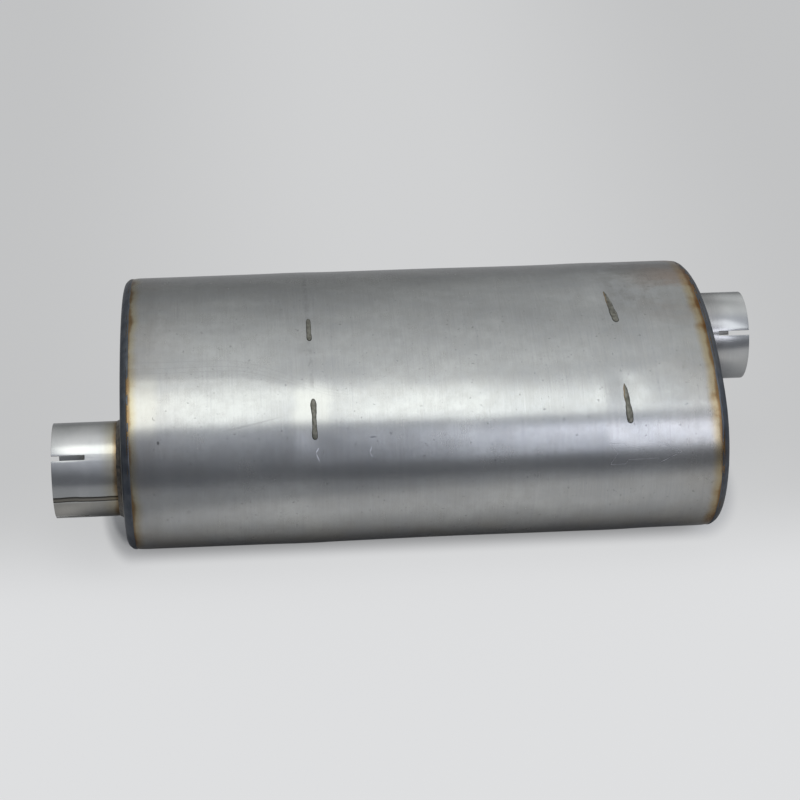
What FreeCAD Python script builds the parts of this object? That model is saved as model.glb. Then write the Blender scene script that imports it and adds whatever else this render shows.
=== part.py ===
import FreeCAD, Part
import math
import os

os.makedirs("parts", exist_ok=True)

# Oval body, in millimetres
body_width = 381.0
body_height = 254.0
body_length = 660.4
narrow_end_radius = 104.0
shell_wall = 1.6

# Pressed end caps: a flat face, a bevelled corner and a skirt that slips inside the shell
cap_wall = 2.0
cap_corner = 8.0
cap_skirt_depth = 28.0
cap_to_shell_gap = 0.1

# Necks: the pipe bore, and how far the tube stands out of the cap and reaches inside it
neck_bore = 101.6
neck_wall = 1.6
neck_reach_out = 76.2
neck_reach_in = 32.0
neck_offset = 107.0
neck_to_cap_gap = 0.2

# Clamp slots sawn into each neck from its mouth
slot_count = 4
slot_width = 5.5
slot_depth = 36.0
slot_angle = 127.5

# Welds of the shell to the caps and of the necks to the caps
shell_edge_lap = 1.0
end_weld_reach = 7.0
end_weld_swell = 1.5
neck_weld_leg = 6.5
neck_weld_toe = 6.0
neck_weld_swell = 0.8

# Tack welds of the gas tubes
tack_count = 2
tack_turn = 7.0
tack_leg = 4.0
tack_rise = 3.0

# Butt weld that closes the rolled shell, on the side away from the inlet neck
seam_angle = -20.0
seam_gap = 1.6
seam_weld_width = 6.0
seam_weld_crown = 0.9

# Baffles: flanged oval plates, each placed by the line of its plug welds from its end face
inlet_chamber_length = 208.0
outlet_chamber_length = 111.0
baffle_wall = 1.6
baffle_flange_depth = 18.0
baffle_to_shell_gap = 0.2

# Plug welds that fill slots in the shell over the baffle flanges
plug_width = 6.6
plug_crown = 1.0
inlet_plugs = [
    {"angle": 96.5, "length": 37.0, "slant": 0.0},
    {"angle": 124.0, "length": 47.0, "slant": 0.0},
    {"angle": 286.0, "length": 37.0, "slant": 0.0},
    {"angle": 304.0, "length": 47.0, "slant": 0.0},
]
outlet_plugs = [
    {"angle": 91.5, "length": 60.0, "slant": 5.0},
    {"angle": 121.5, "length": 47.0, "slant": 3.0},
    {"angle": 287.0, "length": 60.0, "slant": 0.0},
    {"angle": 306.0, "length": 47.0, "slant": 0.0},
]

# Gas tubes inside
tube_wall = 1.5
tube_to_neck_gap = 0.15
tube_start = 18.0
tube_overhang = 40.0
return_tube_diameter = 76.2
return_tube_overhang = 26.0
tube_to_baffle_gap = 0.2

# Slots along the tubes, in the middle chamber only
louvre_rows = 2
louvre_length = 120.0
louvre_width = 8.0
louvre_pitch = 150.0
louvre_margin = 20.0

# Sizes that follow from the values above
neck_outer_radius = neck_bore / 2 + neck_wall
cap_offset = -(shell_wall + cap_to_shell_gap)
shell_edge = cap_corner - shell_edge_lap
baffle_offset = -(shell_wall + baffle_to_shell_gap)
flange_middle = (baffle_wall + baffle_flange_depth) / 2
tube_inner_radius = neck_outer_radius + tube_to_neck_gap
tube_outer_radius = tube_inner_radius + tube_wall
return_outer_radius = return_tube_diameter / 2
axis_height = body_height / 2


def point(x, y, z=0.0):
    return FreeCAD.Vector(x, y, z)


def outline(corners):
    """Closed wire through corners in the XY plane."""
    return Part.makePolygon([point(x, y) for x, y in corners + corners[:1]])


# The oval is four tangent arcs: two narrow ends and two broad sides
def oval_arcs(offset):
    """Centre, radius, start angle and turn of each arc, with the oval grown by offset."""
    reach = body_width / 2 - narrow_end_radius
    half_height = body_height / 2
    spread = reach ** 2 + half_height ** 2 - narrow_end_radius ** 2
    broad_radius = spread / (2 * (half_height - narrow_end_radius))
    drop = broad_radius - half_height
    meet = math.degrees(math.atan2(drop, reach))
    return [
        (point(0, reach, 0), narrow_end_radius + offset, -meet, 2 * meet),
        (point(0, 0, -drop), broad_radius + offset, meet, 180 - 2 * meet),
        (point(0, -reach, 0), narrow_end_radius + offset, 180 - meet, 2 * meet),
        (point(0, 0, drop), broad_radius + offset, 180 + meet, 180 - 2 * meet),
    ]


def outward(angle):
    return point(0, math.cos(math.radians(angle)), math.sin(math.radians(angle)))


def oval_point(angle, offset):
    """Point of the grown oval whose outward normal stands at angle from +Y towards +Z."""
    for centre, radius, start, turn in oval_arcs(offset):
        if (angle - start) % 360 <= turn:
            return centre + outward(angle) * radius


def oval_face(offset, x):
    edges = []
    for centre, radius, start, turn in oval_arcs(offset):
        ends = [centre + outward(start + share * turn) * radius for share in (0, 0.5, 1)]
        edges.append(Part.Arc(*ends).toShape())
    face = Part.Face(Part.Wire(edges))
    face.translate(point(x, 0))
    return face


def oval_prism(offset, x_from, x_to):
    return oval_face(offset, x_from).extrude(point(x_to - x_from, 0))


def oval_tube(inner_offset, outer_offset, x_from, x_to):
    return oval_prism(outer_offset, x_from, x_to).cut(oval_prism(inner_offset, x_from, x_to))


def around_oval(section):
    """Carry a section, drawn as x against distance from the oval, once round the oval."""
    pieces = []
    for centre, radius, start, turn in oval_arcs(0):
        face = Part.Face(section)
        face.translate(point(0, radius))
        face.rotate(point(0, 0), point(1, 0), start)
        face.translate(centre)
        pieces.append(face.revolve(centre, point(1, 0), turn))
    return pieces[0].multiFuse(pieces[1:]).removeSplitter()


def turned(section, y, angle=360):
    """Revolve a section, drawn as x against radius, round a line along X at y."""
    ring = Part.Face(section).revolve(point(0, 0), point(1, 0), angle)
    return ring.translated(point(0, y))


def tube(inner_radius, outer_radius, x_from, x_to, y):
    start = point(x_from, y)
    along = point(1, 0)
    outside = Part.makeCylinder(outer_radius, x_to - x_from, start, along)
    return outside.cut(Part.makeCylinder(inner_radius, x_to - x_from, start, along))


def pierced(plate, y, radius):
    """Cut a round hole for a tube through a plate."""
    width = plate.BoundBox.XLength
    return plate.cut(Part.makeCylinder(radius, width, point(plate.BoundBox.XMin, y), point(1, 0)))


def tack_welds(x, radius, gap, y, way):
    """Short fillets on a tube, against the flat that surrounds it with a gap, on the side way."""
    section = outline([(x + way * tack_leg, radius), (x, radius), (x, radius + gap + tack_rise)])
    tack = turned(section, 0, tack_turn)
    tacks = []
    for number in range(tack_count):
        tacks.append(tack.rotated(point(0, 0), point(1, 0), number * 360 / tack_count).translated(point(0, y)))
    return tacks


def at_inlet(shape):
    return shape.translated(point(-body_length / 2, 0))


def at_outlet(shape):
    """The outlet end is the inlet end turned half round about the upright axis."""
    return at_inlet(shape).rotated(point(0, 0), point(0, 0, 1), 180)


def both_ends(shape):
    return Part.makeCompound([at_inlet(shape), at_outlet(shape)])


def stand_on_oval(shape, angle):
    """Set a shape drawn about the origin, with +Z outwards, on the shell at a normal angle."""
    return shape.rotated(point(0, 0), point(1, 0), angle - 90).translated(oval_point(angle, 0))


def save(name, shape):
    shape.translated(point(0, 0, axis_height)).exportStep("parts/" + name + ".step")


# End cap: pressed oval pan with a bevelled corner and a hole for the neck
def end_cap():
    outside = oval_prism(cap_offset, 0, cap_skirt_depth)
    rim = [edge for edge in outside.Edges if edge.BoundBox.XMax < cap_wall / 2]
    outside = outside.makeChamfer(cap_corner, rim)
    inside = oval_prism(cap_offset - cap_wall, cap_wall, cap_skirt_depth + cap_wall)
    rim = [edge for edge in inside.Edges if edge.BoundBox.XMax < cap_wall * 1.5]
    inner_corner = cap_corner - (2 - math.sqrt(2)) * cap_wall
    cap = outside.cut(inside.makeChamfer(inner_corner, rim))
    return pierced(cap, -neck_offset, neck_outer_radius + neck_to_cap_gap)


# End weld: bead in the groove between the shell's edge and the cap's bevelled corner
def end_weld():
    bevel_start = cap_offset - cap_corner
    toe = (cap_corner - end_weld_reach, bevel_start + cap_corner - end_weld_reach)
    run_x = toe[0] - shell_edge
    run_y = toe[1]
    swell = end_weld_swell / math.hypot(run_x, run_y)
    crown = (shell_edge + run_x / 2 + swell * run_y, run_y / 2 - swell * run_x)
    return around_oval(outline([
        (shell_edge, 0),
        (shell_edge, bevel_start + shell_edge),
        toe,
        crown,
    ]))


# Neck: slotted tube that a pipe slides into and a clamp closes
def neck():
    wall = tube(neck_bore / 2, neck_outer_radius, -neck_reach_out, neck_reach_in, -neck_offset)
    for number in range(slot_count):
        corner = point(-neck_reach_out - slot_width, -slot_width / 2, neck_bore / 4)
        saw = Part.makeBox(slot_width + slot_depth, slot_width, neck_outer_radius, corner)
        saw.rotate(point(0, 0), point(1, 0), slot_angle + number * 360 / slot_count - 90)
        wall = wall.cut(saw.translated(point(0, -neck_offset)))
    return wall


# Neck weld: fillet bead between the cap's face and the neck
def neck_weld():
    leg = neck_weld_leg
    toe = neck_weld_toe
    swell = neck_weld_swell / math.hypot(leg, toe)
    crown = (-leg / 2 - swell * toe, neck_outer_radius + toe / 2 + swell * leg)
    section = outline([
        (-leg, neck_outer_radius),
        (0, neck_outer_radius),
        (0, neck_outer_radius + toe),
        crown,
    ])
    return turned(section, -neck_offset)


# Gas tubes, slotted between the two baffles
def louvred(wall, radius, y, near, far):
    start = near + louvre_margin
    room = far - louvre_margin - start
    columns = int((room - louvre_length) / louvre_pitch) + 1
    first = start + (room - louvre_length - (columns - 1) * louvre_pitch) / 2
    cutters = []
    for column in range(columns):
        for row in range(louvre_rows // 2):
            corner = point(first + column * louvre_pitch, -louvre_width / 2, -radius * 1.1)
            cutter = Part.makeBox(louvre_length, louvre_width, radius * 2.2, corner)
            cutter.rotate(point(0, 0), point(1, 0), (row + 0.5) * 360 / louvre_rows)
            cutters.append(cutter.translated(point(0, y)))
    return wall.cut(Part.makeCompound(cutters))


def gas_tube(near, far):
    wall = tube(tube_inner_radius, tube_outer_radius, tube_start, far + tube_overhang, -neck_offset)
    return louvred(wall, tube_outer_radius, -neck_offset, near, far)


def return_tube():
    near = inlet_chamber_length
    far = body_length - outlet_chamber_length
    inner_radius = return_outer_radius - tube_wall
    wall = tube(inner_radius, return_outer_radius, near - return_tube_overhang, far + return_tube_overhang, 0)
    return louvred(wall, return_outer_radius, 0, near, far)


# Baffle: flanged oval plate with a hole for each of the three tubes
def tube_places():
    return [(-neck_offset, tube_outer_radius), (0, return_outer_radius), (neck_offset, tube_outer_radius)]


def baffle(chamber_length):
    outside = oval_prism(baffle_offset, 0, baffle_flange_depth)
    plate = outside.cut(oval_prism(baffle_offset - baffle_wall, baffle_wall, baffle_flange_depth))
    for y, radius in tube_places():
        plate = pierced(plate, y, radius + tube_to_baffle_gap)
    return plate.translated(point(chamber_length - flange_middle, 0))


def tube_tacks(y, radius):
    """Tacks of one tube at both baffles, on the faces that look towards the ends."""
    tacks = []
    for place, chamber_length, side in [
        (at_inlet, inlet_chamber_length, 1),
        (at_outlet, outlet_chamber_length, -1),
    ]:
        joint = tack_welds(chamber_length - flange_middle, radius, tube_to_baffle_gap, side * y, -1)
        tacks += [place(tack) for tack in joint]
    return Part.makeCompound(tacks)


# Plug weld: slot filled down to the baffle's flange and left a little proud
def plug_tool(x, plug):
    depth = body_height / 8
    corner = point(-plug_width / 2, -plug["length"] / 2, -depth)
    tool = Part.makeBox(plug_width, plug["length"], 2 * depth, corner)
    tool.rotate(point(0, 0), point(0, 0, 1), plug["slant"])
    return stand_on_oval(tool, plug["angle"]).translated(point(x, 0))


def plug_welds(x, plugs):
    layer = oval_tube(baffle_offset, plug_crown, x - baffle_flange_depth, x + baffle_flange_depth)
    return Part.makeCompound([plug_tool(x, plug).common(layer) for plug in plugs])


# Shell: one rolled sheet, slotted for the plug welds and closed by a butt weld
def rolled_sheet():
    reach = body_length / 2 - shell_edge
    return oval_tube(-shell_wall, 0, -reach, reach)


def seam_tool():
    depth = body_height / 8
    corner = point(-body_length / 2, -seam_gap / 2, -depth)
    return stand_on_oval(Part.makeBox(body_length, seam_gap, 2 * depth, corner), seam_angle)


def seam_weld():
    reach = body_length / 2 - shell_edge
    half = seam_weld_width / 2
    lens = Part.Face(outline([
        (half, -shell_wall / 2),
        (half, 0),
        (half / 2, seam_weld_crown),
        (-half / 2, seam_weld_crown),
        (-half, 0),
        (-half, -shell_wall / 2),
    ]))
    lens.rotate(point(0, 0), point(1, 0), 90)
    lens.rotate(point(0, 0), point(0, 0, 1), 90)
    bead = lens.translated(point(-reach, 0)).extrude(point(2 * reach, 0))
    sheet = rolled_sheet()
    return stand_on_oval(bead, seam_angle).cut(sheet).fuse(sheet.common(seam_tool()))


inlet_plug_x = inlet_chamber_length - body_length / 2
outlet_plug_x = body_length / 2 - outlet_chamber_length
slots = [plug_tool(inlet_plug_x, plug) for plug in inlet_plugs]
slots += [plug_tool(outlet_plug_x, plug) for plug in outlet_plugs]

save("shell", rolled_sheet().cut(Part.makeCompound([seam_tool()] + slots)))
save("shell_seam_weld", seam_weld())
save("inlet_baffle_plug_welds", plug_welds(inlet_plug_x, inlet_plugs))
save("outlet_baffle_plug_welds", plug_welds(outlet_plug_x, outlet_plugs))

neck_tacks = tack_welds(tube_start, neck_outer_radius, tube_to_neck_gap, -neck_offset, -1)
for side, place, near_chamber, far_chamber in [
    ("inlet", at_inlet, inlet_chamber_length, outlet_chamber_length),
    ("outlet", at_outlet, outlet_chamber_length, inlet_chamber_length),
]:
    save(side + "_neck", place(neck()))
    save(side + "_neck_tacks", place(Part.makeCompound(neck_tacks)))
    save(side + "_tube", place(gas_tube(near_chamber, body_length - far_chamber)))
    save(side + "_baffle", place(baffle(near_chamber)))
save("end_caps", both_ends(end_cap()))
save("end_welds", both_ends(end_weld()))
save("neck_welds", both_ends(neck_weld()))
save("return_tube", at_inlet(return_tube()))
save("inlet_tube_tacks", tube_tacks(-neck_offset, tube_outer_radius))
save("return_tube_tacks", tube_tacks(0, return_outer_radius))
save("outlet_tube_tacks", tube_tacks(neck_offset, tube_outer_radius))
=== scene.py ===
import math
import bmesh
import bpy
from mathutils import Matrix, Vector, noise


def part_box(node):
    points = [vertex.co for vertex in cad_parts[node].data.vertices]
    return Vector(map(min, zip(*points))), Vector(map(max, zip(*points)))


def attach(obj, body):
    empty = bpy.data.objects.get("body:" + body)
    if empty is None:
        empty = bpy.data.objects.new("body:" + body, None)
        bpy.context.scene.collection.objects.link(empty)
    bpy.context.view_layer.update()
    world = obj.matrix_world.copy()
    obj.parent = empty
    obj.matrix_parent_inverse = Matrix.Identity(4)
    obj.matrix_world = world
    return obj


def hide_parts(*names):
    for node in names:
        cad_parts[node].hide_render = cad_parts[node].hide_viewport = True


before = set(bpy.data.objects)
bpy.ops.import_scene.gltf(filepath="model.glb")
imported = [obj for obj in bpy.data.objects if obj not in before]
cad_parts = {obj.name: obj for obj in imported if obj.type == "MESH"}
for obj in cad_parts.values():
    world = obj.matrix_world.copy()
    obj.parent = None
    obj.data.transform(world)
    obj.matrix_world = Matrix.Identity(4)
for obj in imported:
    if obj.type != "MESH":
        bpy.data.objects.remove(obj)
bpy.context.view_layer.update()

# Shell
# One rolled steel sheet bent to an oval of four tangent arcs, with a dull mill finish. The welds have
# drawn it in at both rims and round every plug weld, which bends the reflections that run along it.
narrow_radius = 0.104
shell_wall = 0.0016
shell_low, shell_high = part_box("shell")
half_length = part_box("end_caps")[1].x
half_width = (shell_high.y - shell_low.y) / 2
half_height = (shell_high.z - shell_low.z) / 2
axis_height = (shell_high.z + shell_low.z) / 2
reach = half_width - narrow_radius
spread = reach ** 2 + half_height ** 2 - narrow_radius ** 2
broad_radius = spread / (2 * (half_height - narrow_radius))
drop = broad_radius - half_height
meet = math.atan2(drop, reach)
oval_arcs = [
    (reach, axis_height, narrow_radius, -meet, 2 * meet),
    (0.0, axis_height - drop, broad_radius, meet, math.pi - 2 * meet),
    (-reach, axis_height, narrow_radius, math.pi - meet, 2 * meet),
    (0.0, axis_height + drop, broad_radius, math.pi + meet, math.pi - 2 * meet),
]


def on_oval(x, run, out):
    """The point at x, a distance round the oval, and a height over it."""
    for y, z, radius, start, turn in oval_arcs:
        if run <= radius * turn + 1e-9:
            angle = start + run / radius
            return Vector((x, y + (radius + out) * math.cos(angle), z + (radius + out) * math.sin(angle)))
        run -= radius * turn
    return on_oval(x, run, out)


def oval_run(degrees):
    """The distance round the oval to where its normal stands at an angle from +Y towards +Z."""
    angle = math.radians(degrees)
    run = 0.0
    for y, z, radius, start, turn in oval_arcs:
        past = (angle - start) % math.tau
        if past <= turn:
            return run + radius * past
        run += radius * turn


def oval_place(point):
    """The distance round the oval and the height over it of a point near it."""
    run = 0.0
    for y, z, radius, start, turn in oval_arcs:
        away = Vector((point.y - y, point.z - z))
        past = (math.atan2(away.y, away.x) - start) % math.tau
        if past > math.tau - 1e-4:
            past = 0.0
        if past <= turn + 1e-4 and abs(away.length - radius) < 0.03:
            return run + radius * past, away.length - radius
        run += radius * turn


def around_oval(mesh, section, spacing):
    """Spin a section, drawn where the first arc starts, once round the oval."""
    for y, z, radius, start, turn in oval_arcs:
        steps = round(radius * turn / spacing)
        swept = bmesh.ops.spin(
            mesh, geom=section, cent=(0, y, z), axis=(1, 0, 0), angle=turn, steps=steps, use_duplicate=False)
        section = swept["geom_last"]
    bmesh.ops.remove_doubles(mesh, verts=mesh.verts, dist=0.00001)
    bmesh.ops.recalc_face_normals(mesh, faces=mesh.faces)


def line_of(mesh, points, closed=False):
    """Vertices at the points, joined in a row by edges."""
    verts = [mesh.verts.new(point) for point in points]
    edges = [mesh.edges.new(pair) for pair in zip(verts, verts[1:])]
    if closed:
        edges.append(mesh.edges.new((verts[-1], verts[0])))
    return verts + edges


def new_piece(name, mesh, finish, slot, *nodes):
    """Turn a bmesh into a piece that rides on the body and stands for CAD nodes."""
    data = bpy.data.meshes.new(name)
    mesh.to_mesh(data)
    mesh.free()
    data.shade_smooth()
    data.materials.append(finish)
    piece = bpy.data.objects.new(name, data)
    bpy.context.scene.collection.objects.link(piece)
    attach(piece, "root")
    if nodes:
        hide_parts(*nodes)
    return piece


class Wire:
    """A socket in a material. Sums written on it add Math nodes, and node() adds any other node."""

    def __init__(self, tree, socket=None):
        self.tree = tree
        self.socket = socket

    def node(self, kind, settings, values, output=0):
        made = self.tree.nodes.new(kind)
        for name, value in settings.items():
            setattr(made, name, value)
        self.feed(made, values)
        return Wire(self.tree, made.outputs[output])

    def feed(self, made, values):
        for name, value in values.items():
            if isinstance(value, Wire):
                self.tree.links.new(value.socket, made.inputs[name])
            else:
                made.inputs[name].default_value = value

    def math(self, operation, *values):
        return self.node("ShaderNodeMath", {"operation": operation}, dict(enumerate(values)))

    def __add__(self, other):
        return self.math("ADD", self, other)

    def __radd__(self, other):
        return self.math("ADD", other, self)

    def __sub__(self, other):
        return self.math("SUBTRACT", self, other)

    def __rsub__(self, other):
        return self.math("SUBTRACT", other, self)

    def __mul__(self, other):
        return self.math("MULTIPLY", self, other)

    def __rmul__(self, other):
        return self.math("MULTIPLY", other, self)

    def __abs__(self):
        return self.math("ABSOLUTE", self)

    def distance(self, point):
        return self.node("ShaderNodeVectorMath", {"operation": "DISTANCE"}, {0: self, 1: point}, "Value")

    def scaled(self, level):
        return self.node("ShaderNodeVectorMath", {"operation": "SCALE"}, {"Vector": self, "Scale": level})

    def axes(self):
        return [self.node("ShaderNodeSeparateXYZ", {}, {0: self}, axis) for axis in "XYZ"]


def new_finish(name):
    """A material, its shader node, and a wire with the place on the piece."""
    finish = bpy.data.materials.new(name)
    finish.use_nodes = True
    place = Wire(finish.node_tree).node("ShaderNodeTexCoord", {}, {}, "Object")
    return finish, finish.node_tree.nodes["Principled BSDF"], place


def fade(value, start, end):
    """A smooth step from 0 where the value is start to 1 where it is end."""
    settings = {"interpolation_type": "SMOOTHSTEP"}
    return value.node("ShaderNodeMapRange", settings, {"Value": value, "From Min": start, "From Max": end})


def cloud(place, stretch, detail, roughness=0.5):
    """Noise whose patches are stretched by (x, y, z) features a metre."""
    moved = place.node("ShaderNodeVectorMath", {"operation": "MULTIPLY"}, {0: place, 1: stretch})
    values = {"Vector": moved, "Scale": 1.0, "Detail": detail, "Roughness": roughness}
    return place.node("ShaderNodeTexNoise", {}, values)


def blend(share, first, second, mode="MIX"):
    """A colour that goes from the first to the second as the share goes from 0 to 1."""
    settings = {"data_type": "RGBA", "blend_type": mode}
    colours = [c if isinstance(c, Wire) else (*c, 1) for c in (first, second)]
    return share.node("ShaderNodeMix", settings, {0: share, 6: colours[0], 7: colours[1]}, 2)


def bumped(height, depth):
    """A normal for a surface with a height in units of depth metres."""
    return height.node("ShaderNodeBump", {}, {"Height": height, "Distance": depth}, "Normal")


inlet_baffle_x = -0.1222
outlet_baffle_x = 0.2192
baffle_line_x = inlet_baffle_x - 0.0003
bright_run = 0.493
baffle_highlight_run = 0.503
crease_from = -0.21
crease_to = -0.075
crease_high = 0.461
crease_fall = 0.0355
shell_grey = (0.375, 0.38, 0.372)
shell_dull = (0.305, 0.31, 0.31)
straw = (0.98, 0.89, 0.66)
orange = (1.0, 0.85, 0.68)
brown = (0.56, 0.42, 0.31)
shell_steel, shader, place = new_finish("rolled_steel")
x, y, z = place.axes()
run = place.node("ShaderNodeAttribute", {"attribute_name": "run"}, {}, "Fac")
grain = cloud(place, (1300, 30, 30), detail=3)
smudge = cloud(place, (7, 15, 15), detail=5, roughness=0.6)
streak = cloud(place, (6, 110, 110), detail=4, roughness=0.6)
mottle = cloud(place, (75, 60, 60), detail=5, roughness=0.7)
blotch = cloud(place, (26, 20, 20), detail=1)
rim_room = half_length - abs(x)
edge_wander = cloud(place, (14, 26, 26), detail=3) - 0.5
heat = rim_room + edge_wander * 0.012
outlet_side = fade(x, -0.05, 0.05)
burnt = fade(cloud(place, (26, 36, 36), detail=4), 0.46, 0.70)
low_side = fade(z, 0.125, 0.055)
colour = blend(fade(smudge, 0.35, 0.68), shell_dull, shell_grey)
colour = blend(fade(streak, 0.50, 0.80) * 0.25, colour, shell_dull)
colour = blend(fade(mottle, 0.36, 0.66) * 0.50, colour, (0.295, 0.295, 0.285))
colour = blend(fade(grain, 0.40, 0.75) * 0.18, colour, (0.45, 0.45, 0.44))
# Near the inlet rim the sheet is a little darker in tone. Inside that band, along the run of the overhead
# highlight, it is lightened: a painted highlight.
tone_band_and_painted_highlight = fade(rim_room + edge_wander * 0.02, 0.045, 0.034) * (1 - outlet_side)
colour = blend(tone_band_and_painted_highlight * 0.5, colour, (0.82, 0.81, 0.80), "MULTIPLY")
tone_band_and_painted_highlight = tone_band_and_painted_highlight * fade(abs(run - bright_run), 0.044, 0.030)
colour = blend(tone_band_and_painted_highlight * 0.6, colour, (0.43, 0.43, 0.40))
baffle_line = fade(abs(x - baffle_line_x), 0.0036, 0.0010) * fade(mottle, 0.4, 0.65)
colour = blend(baffle_line * fade(z, 0.19, 0.23) * 0.5, colour, (0.2, 0.2, 0.2))
furrow = cloud(place, (420, 14, 14), detail=2)
colour = blend(fade(furrow, 0.52, 0.72) * 0.16, colour, (0.25, 0.25, 0.26))
fleck = cloud(place, (260, 260, 260), detail=1)
colour = blend(fade(fleck, 0.70, 0.78) * 0.45, colour, (0.13, 0.13, 0.13))
crease_run = crease_high + crease_fall * fade(x, crease_from, crease_to)
crease_end = fade(x, -0.07, -0.11)
for offset in (0.0085, 0.0150, 0.0235):
    off_line = abs(run - crease_run + offset * (1 - 0.5 * fade(x, -0.24, -0.09)) + edge_wander * 0.004)
    colour = blend(fade(off_line, 0.0011, 0.0003) * crease_end * 0.22, colour, (0.25, 0.25, 0.25))
# Painted highlight: beside the inlet baffle the sheet is lightened along the run of the overhead highlight.
tone_band_and_painted_highlight = fade(abs(x - inlet_baffle_x + edge_wander * 0.03), 0.026, 0.012)
tone_band_and_painted_highlight = tone_band_and_painted_highlight * fade(abs(run - baffle_highlight_run), 0.036, 0.010)
colour = blend(tone_band_and_painted_highlight * 0.45, colour, (0.44, 0.44, 0.41))
# Pits and short scratches: place, lean in degrees, half width, half length, colour and strength
marks = [
    ((-0.2895, -0.160, 0.2004), 0.0, 0.0019, 0.0019, (0.07, 0.07, 0.07), 0.8),
    ((-0.1202, -0.170, 0.1892), 39.0, 0.0009, 0.0036, (0.75, 0.75, 0.78), 0.6),
    ((-0.1199, -0.173, 0.1829), -25.0, 0.0010, 0.0058, (0.70, 0.70, 0.73), 0.6),
    ((-0.0629, -0.170, 0.1882), 22.0, 0.0009, 0.0042, (0.70, 0.70, 0.73), 0.45),
    ((-0.0625, -0.173, 0.1833), -40.0, 0.0008, 0.0032, (0.70, 0.70, 0.73), 0.4),
    ((-0.0600, -0.163, 0.1985), 88.0, 0.0010, 0.0050, (0.12, 0.12, 0.13), 0.6),
    ((-0.1880, -0.148, 0.2113), 82.5, 0.0009, 0.0450, (0.16, 0.16, 0.16), 0.22),
]
for spot, lean, wide, long, mark_colour, share in marks:
    turn = (0, math.radians(lean), 0)
    values = {"Vector": place, "Location": spot, "Rotation": turn, "Scale": (wide, 0.03, long)}
    inside = place.node("ShaderNodeMapping", {"vector_type": "TEXTURE"}, values).distance((0, 0, 0))
    colour = blend(fade(inside, 1.0, 0.3) * share, colour, mark_colour)
haze = fade(rim_room, 0.105, 0.02) * fade(smudge + edge_wander * 0.6, 0.38, 0.60)
top_right = outlet_side * fade(y, -0.05, 0.03)
end_dirt = fade(rim_room, 0.080, 0.02) * outlet_side * 0.6
colour = blend(end_dirt, colour, (0.86, 0.85, 0.83), "MULTIPLY")
colour = blend(haze * (0.12 + 0.78 * top_right), colour, (0.78, 0.63, 0.55), "MULTIPLY")
soot = top_right * fade(abs(x - 0.250), 0.05, 0.01) * fade(mottle + blotch, 0.75, 1.15)
colour = blend(soot * 0.5, colour, (0.60, 0.58, 0.56), "MULTIPLY")
# Painted reflection: the lower side of the sheet is tinted warm and darker, in patches, standing in for the
# lit floor that it mirrors.
colour = blend(low_side * (0.55 + 0.45 * fade(blotch, 0.4, 0.6)), colour, (0.96, 0.90, 0.80), "MULTIPLY")
far_tint = fade(heat - 0.002 * outlet_side, 0.022, 0.0115)
colour = blend(far_tint, colour, straw, "MULTIPLY")
colour = blend(far_tint * outlet_side * (0.5 + 0.5 * burnt), colour, orange, "MULTIPLY")
colour = blend(low_side * far_tint * 0.7, colour, (0.88, 0.70, 0.60), "MULTIPLY")
colour = blend(burnt * fade(heat, 0.027, 0.012) * (0.30 + 0.5 * outlet_side), colour, brown, "MULTIPLY")
colour = blend(fade(heat, 0.0140, 0.0100), colour, brown, "MULTIPLY")
shade = {
    "Base Color": colour,
    "Metallic": 1.0,
    "Roughness": 0.19 + smudge * 0.05 + mottle * 0.07 + grain * 0.02,
    "Normal": bumped(blotch, 0.00025),
    "Specular Tint": (0.6, 0.6, 0.6, 1),
}
place.feed(shader, shade)

shell_run = sum(arc[2] * arc[4] for arc in oval_arcs)
rim_pull = 0.0012
plug_dent = 0.0010
crease_rise = 0.0005
sheet_wave = 0.0005
# The plug welds: place along the body, angle round the oval, length and slant in degrees
plug_places = [
    (inlet_baffle_x, 96.5, 0.037, 0.0),
    (inlet_baffle_x, 124.0, 0.047, 0.0),
    (inlet_baffle_x, 286.0, 0.037, 0.0),
    (inlet_baffle_x, 304.0, 0.047, 0.0),
    (outlet_baffle_x, 91.5, 0.060, 5.0),
    (outlet_baffle_x, 121.5, 0.047, 3.0),
    (outlet_baffle_x, 287.0, 0.060, 0.0),
    (outlet_baffle_x, 306.0, 0.047, 0.0),
]


def sheet_height(x, run):
    """How far the sheet stands off the true oval: drawn in at the rims and the plug welds, and wavy."""
    height = -rim_pull * math.exp(-((half_length - 0.005 - abs(x)) / 0.008) ** 2)
    for baffle_x in (inlet_baffle_x, outlet_baffle_x):
        height += 0.0003 * math.exp(-((x - baffle_x) / 0.016) ** 2)
        height += 0.0004 * math.exp(-abs(x - baffle_x + 0.023) / 0.018)
    for plug_x, angle, length, slant in plug_places:
        aside = (run - oval_run(angle) + shell_run / 2) % shell_run - shell_run / 2
        beyond = max(0.0, abs(aside) - length / 2)
        height -= plug_dent * math.exp(-((x - plug_x) / 0.016) ** 2 - (beyond / 0.016) ** 2)
    bend = min(max((x - crease_from) / (crease_to - crease_from), 0.0), 1.0)
    crease = crease_high + crease_fall * bend * bend * (3 - 2 * bend)
    height += crease_rise * (1 - bend) * math.exp(-abs(run - crease) / 0.013)
    spot = on_oval(x, run, 0)
    height += sheet_wave * noise.noise(Vector((x * 7, spot.y * 11, spot.z * 11)))
    return height


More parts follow.
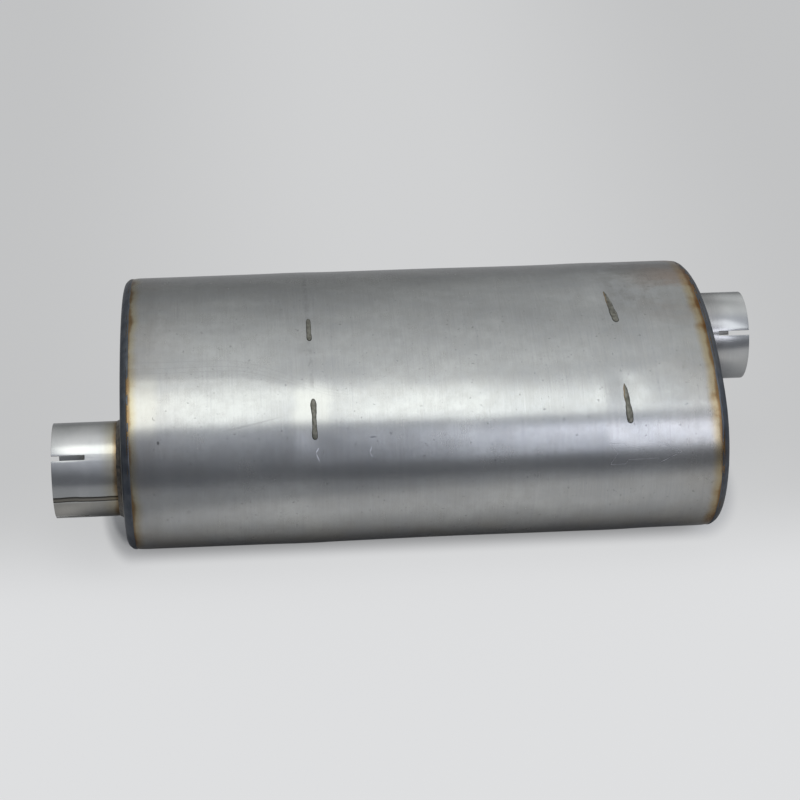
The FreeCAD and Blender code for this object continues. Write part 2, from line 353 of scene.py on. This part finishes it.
sheet_spacing = 0.0030
rim_band = 0.02
rim_cuts = 11
middle_cuts = 119
mesh = bmesh.new()
stations = [shell_low.x, shell_low.x + rim_band, shell_high.x - rim_band, shell_high.x]
line_of(mesh, [on_oval(station, 0, 0) for station in stations])
for edge in mesh.edges[:]:
    cuts = rim_cuts if edge.calc_length() < 1.5 * rim_band else middle_cuts
    bmesh.ops.subdivide_edges(mesh, edges=[edge], cuts=cuts)
around_oval(mesh, mesh.verts[:] + mesh.edges[:], sheet_spacing)
run_layer = mesh.verts.layers.float.new("run")
for vert in mesh.verts:
    run, out = oval_place(vert.co)
    vert[run_layer] = run
    vert.co = on_oval(vert.co.x, run, sheet_height(vert.co.x, run))
    vert.co.z = max(vert.co.z, 0.0)
shell = new_piece("shell_sheet", mesh, shell_steel, "shell_steel", "shell")
wall = shell.modifiers.new("wall", "SOLIDIFY")
wall.thickness = shell_wall
wall.offset = -1

# Flow arrow
# The outline of an arrow scribed into the sheet near the outlet, to show which way the gas goes. The
# tool has thrown up a fine raised edge along its line. The line's pale, nearly matte colour is a painted
# glint, which keeps it bright where the sheet around it mirrors the dark room.
arrow_middle = oval_run(152.6)
arrow_line = 0.0014
arrow_outline = [
    (0.197, -0.0115), (0.213, -0.0115), (0.217, -0.0066), (0.251, -0.0066), (0.251, -0.0115),
    (0.2755, 0.0), (0.251, 0.0115), (0.251, 0.0066), (0.217, 0.0066), (0.213, 0.0115), (0.197, 0.0115),
    (0.2045, 0.0),
]
painted_glint_steel, shader, place = new_finish("painted_glint_steel")
wear = cloud(place, (120, 120, 120), detail=3)
shade = {
    "Base Color": blend(fade(wear, 0.30, 0.55), (0.40, 0.40, 0.43), (0.80, 0.80, 0.84)),
    "Metallic": 0.2,
    "Roughness": 0.40 + wear * 0.1,
}
place.feed(shader, shade)
mesh = bmesh.new()
face = mesh.faces.new([mesh.verts.new((along, aside, 0)) for along, aside in arrow_outline])
bmesh.ops.inset_region(mesh, faces=[face], thickness=arrow_line, use_boundary=True, use_even_offset=True)
bmesh.ops.delete(mesh, geom=[face], context="FACES")
long_edges = [edge for edge in mesh.edges if edge.calc_length() > 0.004]
bmesh.ops.subdivide_edges(mesh, edges=long_edges, cuts=7, use_grid_fill=True)
for vert in mesh.verts:
    run = arrow_middle + vert.co.y
    vert.co = on_oval(vert.co.x, run, sheet_height(vert.co.x, run))
bmesh.ops.recalc_face_normals(mesh, faces=mesh.faces)
arrow = new_piece("flow_arrow", mesh, painted_glint_steel, "shell_steel")
ridge = arrow.modifiers.new("ridge", "SOLIDIFY")
ridge.thickness = 0.0005
ridge.offset = 0
rounding = arrow.modifiers.new("rounding", "BEVEL")
rounding.width = 0.0002
rounding.segments = 2

# Plug welds
# Slots in the sheet over the baffles, filled by hand: each is a short lumpy bead that stands proud, often
# narrow where the welder began and wide where the pool was left to cool.
plug_metal, shader, place = new_finish("plug_metal")
mottle = cloud(place, (260, 260, 260), detail=4)
edge = place.node("ShaderNodeAttribute", {"attribute_name": "edge"}, {}, "Fac")
colour = blend(fade(mottle, 0.3, 0.7), (0.085, 0.083, 0.067), (0.18, 0.175, 0.150))
colour = blend(fade(edge, 0.30, 0.75), colour, (0.035, 0.035, 0.031))
burn = place.node("ShaderNodeAttribute", {"attribute_name": "burn"}, {}, "Fac")
colour = blend(fade(burn, 0.35, 0.7) * 0.8, colour, (0.40, 0.27, 0.14))
shade = {
    "Base Color": colour,
    "Metallic": 0.85,
    "Roughness": 0.38 + mottle * 0.22,
    "Normal": bumped(mottle, 0.00015),
}
place.feed(shader, shade)
# Seven half widths along each plug weld, in the order of the places above
plug_forms = [
    (0.0024, 0.0028, 0.0029, 0.0028, 0.0028, 0.0028, 0.0026),
    (0.0030, 0.0034, 0.0031, 0.0023, 0.0025, 0.0029, 0.0037),
    (0.0028, 0.0030, 0.0027, 0.0029, 0.0031, 0.0029, 0.0028),
    (0.0026, 0.0030, 0.0024, 0.0026, 0.0032, 0.0030, 0.0033),
    (0.0010, 0.0019, 0.0027, 0.0032, 0.0037, 0.0041, 0.0041),
    (0.0010, 0.0024, 0.0031, 0.0027, 0.0035, 0.0039, 0.0042),
    (0.0016, 0.0024, 0.0032, 0.0030, 0.0034, 0.0036, 0.0037),
    (0.0024, 0.0028, 0.0026, 0.0031, 0.0034, 0.0033, 0.0037),
]
for side, node in (("inlet", "inlet_baffle_plug_welds"), ("outlet", "outlet_baffle_plug_welds")):
    mesh = bmesh.new()
    edge_layer = mesh.verts.layers.float.new("edge")
    burn_layer = mesh.verts.layers.float.new("burn")
    for (plug_x, angle, length, slant), widths in zip(plug_places, plug_forms):
        if (plug_x < 0) != (side == "inlet"):
            continue
        made = bmesh.ops.create_uvsphere(mesh, u_segments=24, v_segments=64, radius=1.0)
        for vert in made["verts"]:
            ball = vert.co.copy()
            ring = max(math.hypot(ball.x, ball.y), 1e-6)
            along = ball.z * length / 2
            step = min(int((ball.z + 1) * 3), 5)
            part = (ball.z + 1) * 3 - step
            part = part * part * (3 - 2 * part)
            width = widths[step] + (widths[step + 1] - widths[step]) * part
            blunt = math.sqrt(max(0.0, 1 - abs(ball.z) ** 10))
            lump = noise.noise(Vector((along * 150, 0.3, angle)))
            aside = ball.x / ring * blunt * (width + 0.0004 * lump) + along * math.tan(math.radians(slant))
            aside += 0.0004 * noise.noise(Vector((along * 90, 7.0, angle)))
            crumb = noise.noise(Vector((along * 300, aside * 400, angle)))
            run = oval_run(angle) + along
            proud = 0.0013 * ball.y / ring * blunt + 0.0003 * lump + 0.0001 * crumb
            vert[edge_layer] = 1 - max(0.0, ball.y / ring) * blunt
            vert[burn_layer] = max(0.0, -ball.x / ring) * (1 - ball.z) / 2 * (plug_x > 0)
            vert.co = on_oval(plug_x + aside, run, sheet_height(plug_x + aside, run) + proud)
    bmesh.ops.recalc_face_normals(mesh, faces=mesh.faces)
    new_piece(side + "_plugs", mesh, plug_metal, "weld_metal", node)

# End caps
# Pressed pans of plain sheet whose flat faces close the two ends. The baffles and gas tubes behind them
# are duller, and the tacks and the seam that hold them all have the look of weld metal.
cap_steel, shader, place = new_finish("cap_steel")
smudge = cloud(place, (14, 14, 14), detail=5, roughness=0.6)
grain = cloud(place, (10, 420, 10), detail=3)
colour = blend(fade(smudge, 0.35, 0.7), (0.27, 0.27, 0.265), (0.35, 0.345, 0.335))
colour = blend(fade(grain, 0.4, 0.8) * 0.3, colour, (0.42, 0.415, 0.405))
shade = {
    "Base Color": colour,
    "Metallic": 1.0,
    "Roughness": 0.30 + smudge * 0.16,
    "Normal": bumped(grain, 0.00004),
    "Specular Tint": (0.6, 0.6, 0.6, 1),
}
place.feed(shader, shade)
inner_steel, shader, place = new_finish("inner_steel")
smudge = cloud(place, (20, 20, 20), detail=4)
shade = {
    "Base Color": blend(fade(smudge, 0.35, 0.7), (0.20, 0.20, 0.195), (0.30, 0.295, 0.285)),
    "Metallic": 1.0,
    "Roughness": 0.36 + smudge * 0.16,
}
place.feed(shader, shade)
node_finishes = {
    "end_caps": cap_steel,
    "shell_seam_weld": plug_metal,
    "inlet_baffle": inner_steel,
    "outlet_baffle": inner_steel,
    "inlet_tube": inner_steel,
    "outlet_tube": inner_steel,
    "return_tube": inner_steel,
    "inlet_neck_tacks": plug_metal,
    "outlet_neck_tacks": plug_metal,
    "inlet_tube_tacks": plug_metal,
    "return_tube_tacks": plug_metal,
    "outlet_tube_tacks": plug_metal,
}
for name, finish in node_finishes.items():
    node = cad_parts[name]
    node.data.materials.clear()
    node.data.materials.append(finish)

# End welds
# A bead of weld metal laid all round each end, over the sheet's edge and the cap's bevelled corner.
# It is left as welded: rippled, rounded, and oxidised to a dark blue-grey.
bead_ripple = 0.0034
bead_spacing = 0.0011
bead_colour = (0.055, 0.062, 0.074)
bead_metal, shader, place = new_finish("bead_metal")
mottle = cloud(place, (90, 90, 90), detail=3)
scale_patch = cloud(place, (18, 18, 18), detail=3)
colour = blend(fade(mottle, 0.3, 0.75) * 0.7, bead_colour, (0.098, 0.105, 0.116))
colour = blend(fade(scale_patch, 0.5, 0.75) * 0.5, colour, (0.11, 0.095, 0.07))
shade = {
    "Base Color": colour,
    "Metallic": 0.85,
    "Roughness": 0.32 + mottle * 0.12,
    "Normal": bumped(mottle, 0.00008),
    "Specular Tint": (0.6, 0.6, 0.6, 1),
}
place.feed(shader, shade)


def add_other_end(mesh):
    """Copy what is at the inlet end to the outlet end, half a turn about the upright axis."""
    made = bmesh.ops.duplicate(mesh, geom=mesh.verts[:] + mesh.edges[:] + mesh.faces[:])["geom"]
    turned = [part for part in made if isinstance(part, bmesh.types.BMVert)]
    bmesh.ops.rotate(mesh, verts=turned, cent=(0, 0, 0), matrix=Matrix.Rotation(math.pi, 3, "Z"))


# The bead's section: distance in from the end face, and height over the oval
bead_outline = [
    (0.0104, -0.0016), (0.0094, -0.0006), (0.0078, -0.0008), (0.0060, -0.0015), (0.0040, -0.0028),
    (0.0022, -0.0046), (0.0009, -0.0066), (0.0003, -0.0086), (0.0012, -0.0100), (0.0072, -0.0040),
]
mesh = bmesh.new()
section = line_of(mesh, [on_oval(-half_length + x_in, 0, out) for x_in, out in bead_outline], closed=True)
around_oval(mesh, section, bead_spacing)
for vert in mesh.verts:
    run, out = oval_place(vert.co)
    x_in = vert.co.x + half_length
    bow = 0.35 * bead_ripple * (out / 0.009) ** 2
    phase = (run + bow) / bead_ripple
    phase += 0.7 * noise.noise(Vector((run * 60, 0, 0)))
    ridge = 0.5 - abs(phase % 1 - 0.5)
    lump = noise.noise(Vector((run * 90, x_in * 200, 3.0)))
    swell = 0.00016 * (ridge - 0.25) + 0.0003 * lump
    wander = 0.0007 * noise.noise(Vector((run * 55, 5.0, 0)))
    x_in += wander * (x_in > 0.005) - 0.3 * swell
    vert.co = on_oval(x_in - half_length, run, out + swell)
    vert.co.z = max(vert.co.z, 0.0)
add_other_end(mesh)
new_piece("end_beads", mesh, bead_metal, "end_weld_metal", "end_welds")

# Necks
# Two lengths of tube, each slotted from its mouth so that a clamp can close it on the pipe inside.
# The steel is brighter than the sheet, with burrs at the sawn edges and a heat tint at the root.
neck_low, neck_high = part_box("inlet_neck")
neck_y = (neck_low.y + neck_high.y) / 2
neck_radius = (neck_high.y - neck_low.y) / 2
neck_wall = 0.0016
slot_depth = 0.036
slot_angle = 127.5
neck_columns = 120
seam_half = 0.0025
seam_rise = 0.0004
neck_steel, shader, place = new_finish("neck_steel")
x, y, z = place.axes()
grain = cloud(place, (900, 20, 20), detail=3)
smudge = cloud(place, (30, 22, 22), detail=4)
seam_z = axis_height + 0.0002
seam_wander = (cloud(place, (30, 8, 8), detail=3) - 0.5) * 0.003
seam_front = fade(abs(y), 0.140, 0.145)
seam_away = abs(z - seam_z - seam_wander)
seam_line = fade(seam_away, 0.0036, 0.0028) * seam_front
seam_toe = fade(abs(seam_away - 0.0024), 0.0013, 0.0005) * seam_front
reach_out = abs(x) - half_length
heat = reach_out + (cloud(place, (30, 34, 34), detail=4) - 0.5) * 0.010
colour = blend(fade(smudge, 0.35, 0.7), (0.40, 0.405, 0.40), (0.47, 0.47, 0.465))
# Painted shade: the tube is darkened close to the cap, and the outlet neck a little further out as well.
colour = blend(fade(reach_out, 0.030, 0.006) * 0.6, colour, (0.74, 0.72, 0.70), "MULTIPLY")
colour = blend(fade(reach_out, 0.060, 0.030) * fade(x, 0.3, 0.32), colour, (0.62, 0.61, 0.61), "MULTIPLY")
colour = blend(fade(grain, 0.4, 0.8) * 0.15, colour, (0.54, 0.54, 0.53))
below_seam = fade(z, seam_z - 0.002, seam_z - 0.006) * seam_front
colour = blend(below_seam * 0.8, colour, (0.62, 0.59, 0.54), "MULTIPLY")
colour = blend(seam_line * 0.85, colour, (0.15, 0.135, 0.11))
colour = blend(seam_toe * 0.9, colour, (0.045, 0.042, 0.038))
inlet_side = fade(x, 0.05, -0.05)
colour = blend(fade(heat, 0.026, 0.008) * inlet_side * 0.8, colour, (0.97, 0.90, 0.70), "MULTIPLY")
colour = blend(fade(heat, 0.0125, 0.0065), colour, (0.60, 0.46, 0.33), "MULTIPLY")
shade = {
    "Base Color": colour,
    "Metallic": 1.0,
    "Roughness": 0.20 + smudge * 0.08 + seam_line * 0.12,
    "Specular Tint": (0.6, 0.6, 0.6, 1),
}
place.feed(shader, shade)


def neck_tube():
    """The inlet neck's wall as one surface, open along its slots."""
    mesh = bmesh.new()
    half_slot = math.tau / neck_columns
    first = math.radians(slot_angle) - half_slot
    across = Vector((0, math.cos(first), math.sin(first))) * neck_radius
    axis = Vector((0, neck_y, axis_height))
    stations = [neck_low.x, neck_low.x + slot_depth, neck_high.x]
    section = line_of(mesh, [axis + across + Vector((station, 0, 0)) for station in stations])
    bmesh.ops.spin(mesh, geom=section, cent=axis, axis=(1, 0, 0), angle=math.tau, steps=neck_columns,
                   use_merge=True)
    sawn = []
    for face in mesh.faces:
        middle = face.calc_center_median()
        angle = math.atan2(middle.z - axis_height, middle.y - neck_y)
        past = (angle - math.radians(slot_angle) + math.pi / 4) % (math.pi / 2) - math.pi / 4
        if middle.x < neck_low.x + slot_depth and abs(past) < half_slot:
            sawn.append(face)
    bmesh.ops.delete(mesh, geom=sawn, context="FACES")
    for vert in mesh.verts:
        away = vert.co - axis
        if away.y < 0 and abs(vert.co.z - seam_z) < seam_half:
            vert.co += Vector((0, -seam_rise, 0))
    bmesh.ops.recalc_face_normals(mesh, faces=mesh.faces)
    return mesh


for name, turn in (("inlet_neck", 0.0), ("outlet_neck", math.pi)):
    mesh = neck_tube()
    bmesh.ops.rotate(mesh, verts=mesh.verts, cent=(0, 0, 0), matrix=Matrix.Rotation(turn, 3, "Z"))
    neck = new_piece(name + "_tube", mesh, neck_steel, "neck_steel", name)
    wall = neck.modifiers.new("wall", "SOLIDIFY")
    wall.thickness = neck_wall
    wall.offset = -1
    rounding = neck.modifiers.new("rounding", "BEVEL")
    rounding.width = 0.0003
    rounding.segments = 2
    rounding.limit_method = "ANGLE"

# Neck welds
# A fillet bead round each neck where it leaves the cap, dark and finely rippled. Its outline is hollow,
# so that its foot thins out on the cap and on the tube.
fillet_outline = [
    (-0.0070, -0.0004), (-0.0062, 0.0003), (-0.0046, 0.0010), (-0.0030, 0.0020), (-0.0016, 0.0036),
    (-0.0006, 0.0056), (0.0006, 0.0066), (0.0006, -0.0004),
]
fillet_metal, shader, place = new_finish("fillet_metal")
mottle = cloud(place, (200, 200, 200), detail=4)
colour = blend(fade(mottle, 0.3, 0.7), (0.050, 0.048, 0.045), (0.12, 0.105, 0.085))
shade = {
    "Base Color": colour,
    "Metallic": 0.75,
    "Roughness": 0.36 + mottle * 0.2,
    "Normal": bumped(mottle, 0.0002),
}
place.feed(shader, shade)
mesh = bmesh.new()
axis = Vector((-half_length, neck_y, axis_height))
section = line_of(
    mesh, [axis + Vector((along, neck_radius + out, 0)) for along, out in fillet_outline], closed=True)
bmesh.ops.spin(mesh, geom=section, cent=axis, axis=(1, 0, 0), angle=math.tau, steps=360, use_merge=True)
bmesh.ops.recalc_face_normals(mesh, faces=mesh.faces)
for vert in mesh.verts:
    away = vert.co - axis
    angle = math.atan2(away.z, away.y)
    ridge = 0.5 - abs((angle * 17.5) % 1 - 0.5)
    lump = noise.noise(Vector((angle * 6, away.x * 200, 9.0)))
    swell = 0.0004 * (ridge - 0.25) + 0.0004 * lump
    if vert.co.x < -half_length and away.yz.length > neck_radius:
        vert.co += Vector((-0.7 * swell, 0.7 * swell * math.cos(angle), 0.7 * swell * math.sin(angle)))
add_other_end(mesh)
new_piece("neck_fillets", mesh, fillet_metal, "weld_metal", "neck_welds")

# Floor
# A plain pale studio floor that the muffler lies on, large enough to fill the view. Its glow is painted
# light: brighter towards the front and in the steel's reflections, and dimmer far off at the back. The
# glow is withdrawn in painted shadow shapes close under the body and the necks, where the lamp-lit floor
# with its real shadow shows, and the steel mirrors it as it is lit there.
floor_finish, shader, place = new_finish("floor_paper")
x, y, z = place.axes()
place.feed(shader, {"Base Color": (0.5, 0.5, 0.505, 1), "Roughness": 0.9, "Specular IOR Level": 0.1})
# Painted shadow: the glow that the camera sees is withdrawn in a strip round the body's footprint, shorter
# past the ends.
past_end = place.math("MAXIMUM", abs(x) - 0.328, 0.0) * (2.0 + fade(x, 0.1, -0.1))
away = place.math("SQRT", past_end * past_end + y * y)
# Painted shadow: the glow is also withdrawn a little round the floor under each neck.
painted_neck_shadow = 1.0
for end, weight in ((-1, 0.07), (1, 0.04)):
    painted_neck_shadow = painted_neck_shadow * (1 - weight * fade(place.distance((0.372 * end, 0.07 * end, 0)), 0.10, 0.03))
# Painted light falloff: the glow is dimmer far off to the sides at the back, a little brighter towards the
# front, and brighter in the steel's reflections.
painted_far_dimming = 1 - 0.15 * fade(abs(x - 0.05), 0.05, 0.6) * fade(y, -0.25, 0.1)
pale = blend(fade(y, -0.03, -0.19), (0.645, 0.65, 0.655), (0.675, 0.68, 0.688))
to_camera = place.node("ShaderNodeLightPath", {}, {}, "Is Camera Ray")
to_metal = place.node("ShaderNodeLightPath", {}, {}, "Is Glossy Ray")
level = painted_far_dimming + 0.11 * fade(y, 0.0, -0.2) + 0.16 * to_metal
glow = place.node("ShaderNodeEmission", {}, {"Color": pale.scaled(level), "Strength": 1.0})
seen = to_camera * (0.39 * fade(away, 0.078, 0.098) + 0.54 * fade(away, 0.095, 0.130)) * painted_neck_shadow
# Painted reflection: the floor glows in the steel only away from the body. It glows half as much behind,
# dimmer towards both ends, and not at all past the front left corner.
mirrored = to_metal * fade(away, 0.15, 0.335) * (0.50 + 0.49 * fade(y, 0.3, -0.1))
mirrored = mirrored * (0.50 + 0.50 * fade(x, -0.62, -0.20)) * (1 - 0.4 * fade(x, 0.42, 0.60))
mirrored = mirrored * fade(y + 0.8 * x, -0.70, -0.50)
lit = Wire(floor_finish.node_tree, shader.outputs["BSDF"])
mixed = place.node("ShaderNodeMixShader", {}, {0: seen + mirrored, 1: lit, 2: glow})
place.feed(floor_finish.node_tree.nodes["Material Output"], {"Surface": mixed})
mesh = bmesh.new()
bmesh.ops.create_grid(mesh, x_segments=1, y_segments=1, size=8)
data = bpy.data.meshes.new("floor")
mesh.to_mesh(data)
mesh.free()
data.materials.append(floor_finish)
floor = bpy.data.objects.new("floor", data)
bpy.context.scene.collection.objects.link(floor)

# Light
# Soft boxes side by side overhead, two cool ones to the right of the camera, a side one for the outlet
# neck, and a dim grey room.
lamp_places = [
    ("overhead_left", (-0.50, -0.300, 1.65), 1.00, 0.76, 1.64, (0.98, 1.0, 0.94)),
    ("overhead_middle", (0.12, -0.330, 1.65), 0.24, 0.76, 1.85, (0.98, 1.0, 0.94)),
    ("overhead_right", (0.380, -0.405, 1.65), 0.28, 0.67, 2.1, (0.97, 1.0, 0.95)),
    ("cool_right", (0.95, -1.82, 1.64), 0.70, 1.14, 2.75, (0.87, 0.89, 1.0)),
    ("cool_middle", (0.42, -1.86, 1.60), 0.36, 1.56, 1.00, (0.80, 0.85, 1.0)),
    ("side", (0.95, -0.62, 1.44), 0.44, 0.85, 1.45, (0.93, 0.96, 1.0)),
]
for name, spot, width, depth, level, colour in lamp_places:
    lamp = bpy.data.lights.new(name, "AREA")
    lamp.shape = "RECTANGLE"
    lamp.size = width
    lamp.size_y = depth
    lamp.energy = level * math.pi * width * depth
    lamp.color = colour
    holder = bpy.data.objects.new(name, lamp)
    holder.location = spot
    if not name.startswith("overhead"):
        holder.rotation_euler = (Vector(spot) - Vector((0.3, 0, 0.18))).to_track_quat("Z", "Y").to_euler()
    bpy.context.scene.collection.objects.link(holder)

world = bpy.data.worlds.new("room")
world.use_nodes = True
bpy.context.scene.world = world
sky = Wire(world.node_tree)
direction = sky.node("ShaderNodeTexCoord", {}, {}, "Generated")
right, back, up = direction.axes()
front_level = 0.25 + 0.67 * fade(up, 0.3, 1.05)
front_level = front_level + 0.34 * fade(right, 0.0, 0.2) * fade(abs(up - 0.40), 0.15, 0.03)
back_level = 0.41 + 0.50 * sky.math("MAXIMUM", up, 0.0) + 0.32 * fade(up, 0.6, 1.0)
back_level = back_level + 0.38 * fade(right, 0.05, 0.22) * fade(up, 0.7, 0.4)
behind = fade(back, -0.25, 0.25)
level = front_level + (back_level - front_level) * behind
tint = blend(behind, (0.86, 0.90, 1.0), (0.96, 0.985, 1.0))
to_camera = sky.node("ShaderNodeLightPath", {}, {}, "Is Camera Ray")
room = blend(to_camera, tint.scaled(level), (0.600, 0.604, 0.610))
sky.feed(world.node_tree.nodes["Background"], {"Color": room, "Strength": 1.0})

# Camera
# It stands at the photograph's viewing angle, a little over two metres from the muffler. The lens is
# long, so the far rim looks nearly as large as the near one.
camera_data = bpy.data.cameras.new("camera")
camera_data.sensor_width = 36
camera_data.lens = 92.19
camera = bpy.data.objects.new("camera", camera_data)
camera.location = (-0.19951, -1.90501, 1.53195)
camera.rotation_euler = [math.radians(turn) for turn in (53.70995, -0.85423, -4.8702)]
bpy.context.scene.collection.objects.link(camera)
bpy.context.scene.camera = camera
bpy.context.scene.view_settings.view_transform = "Standard"
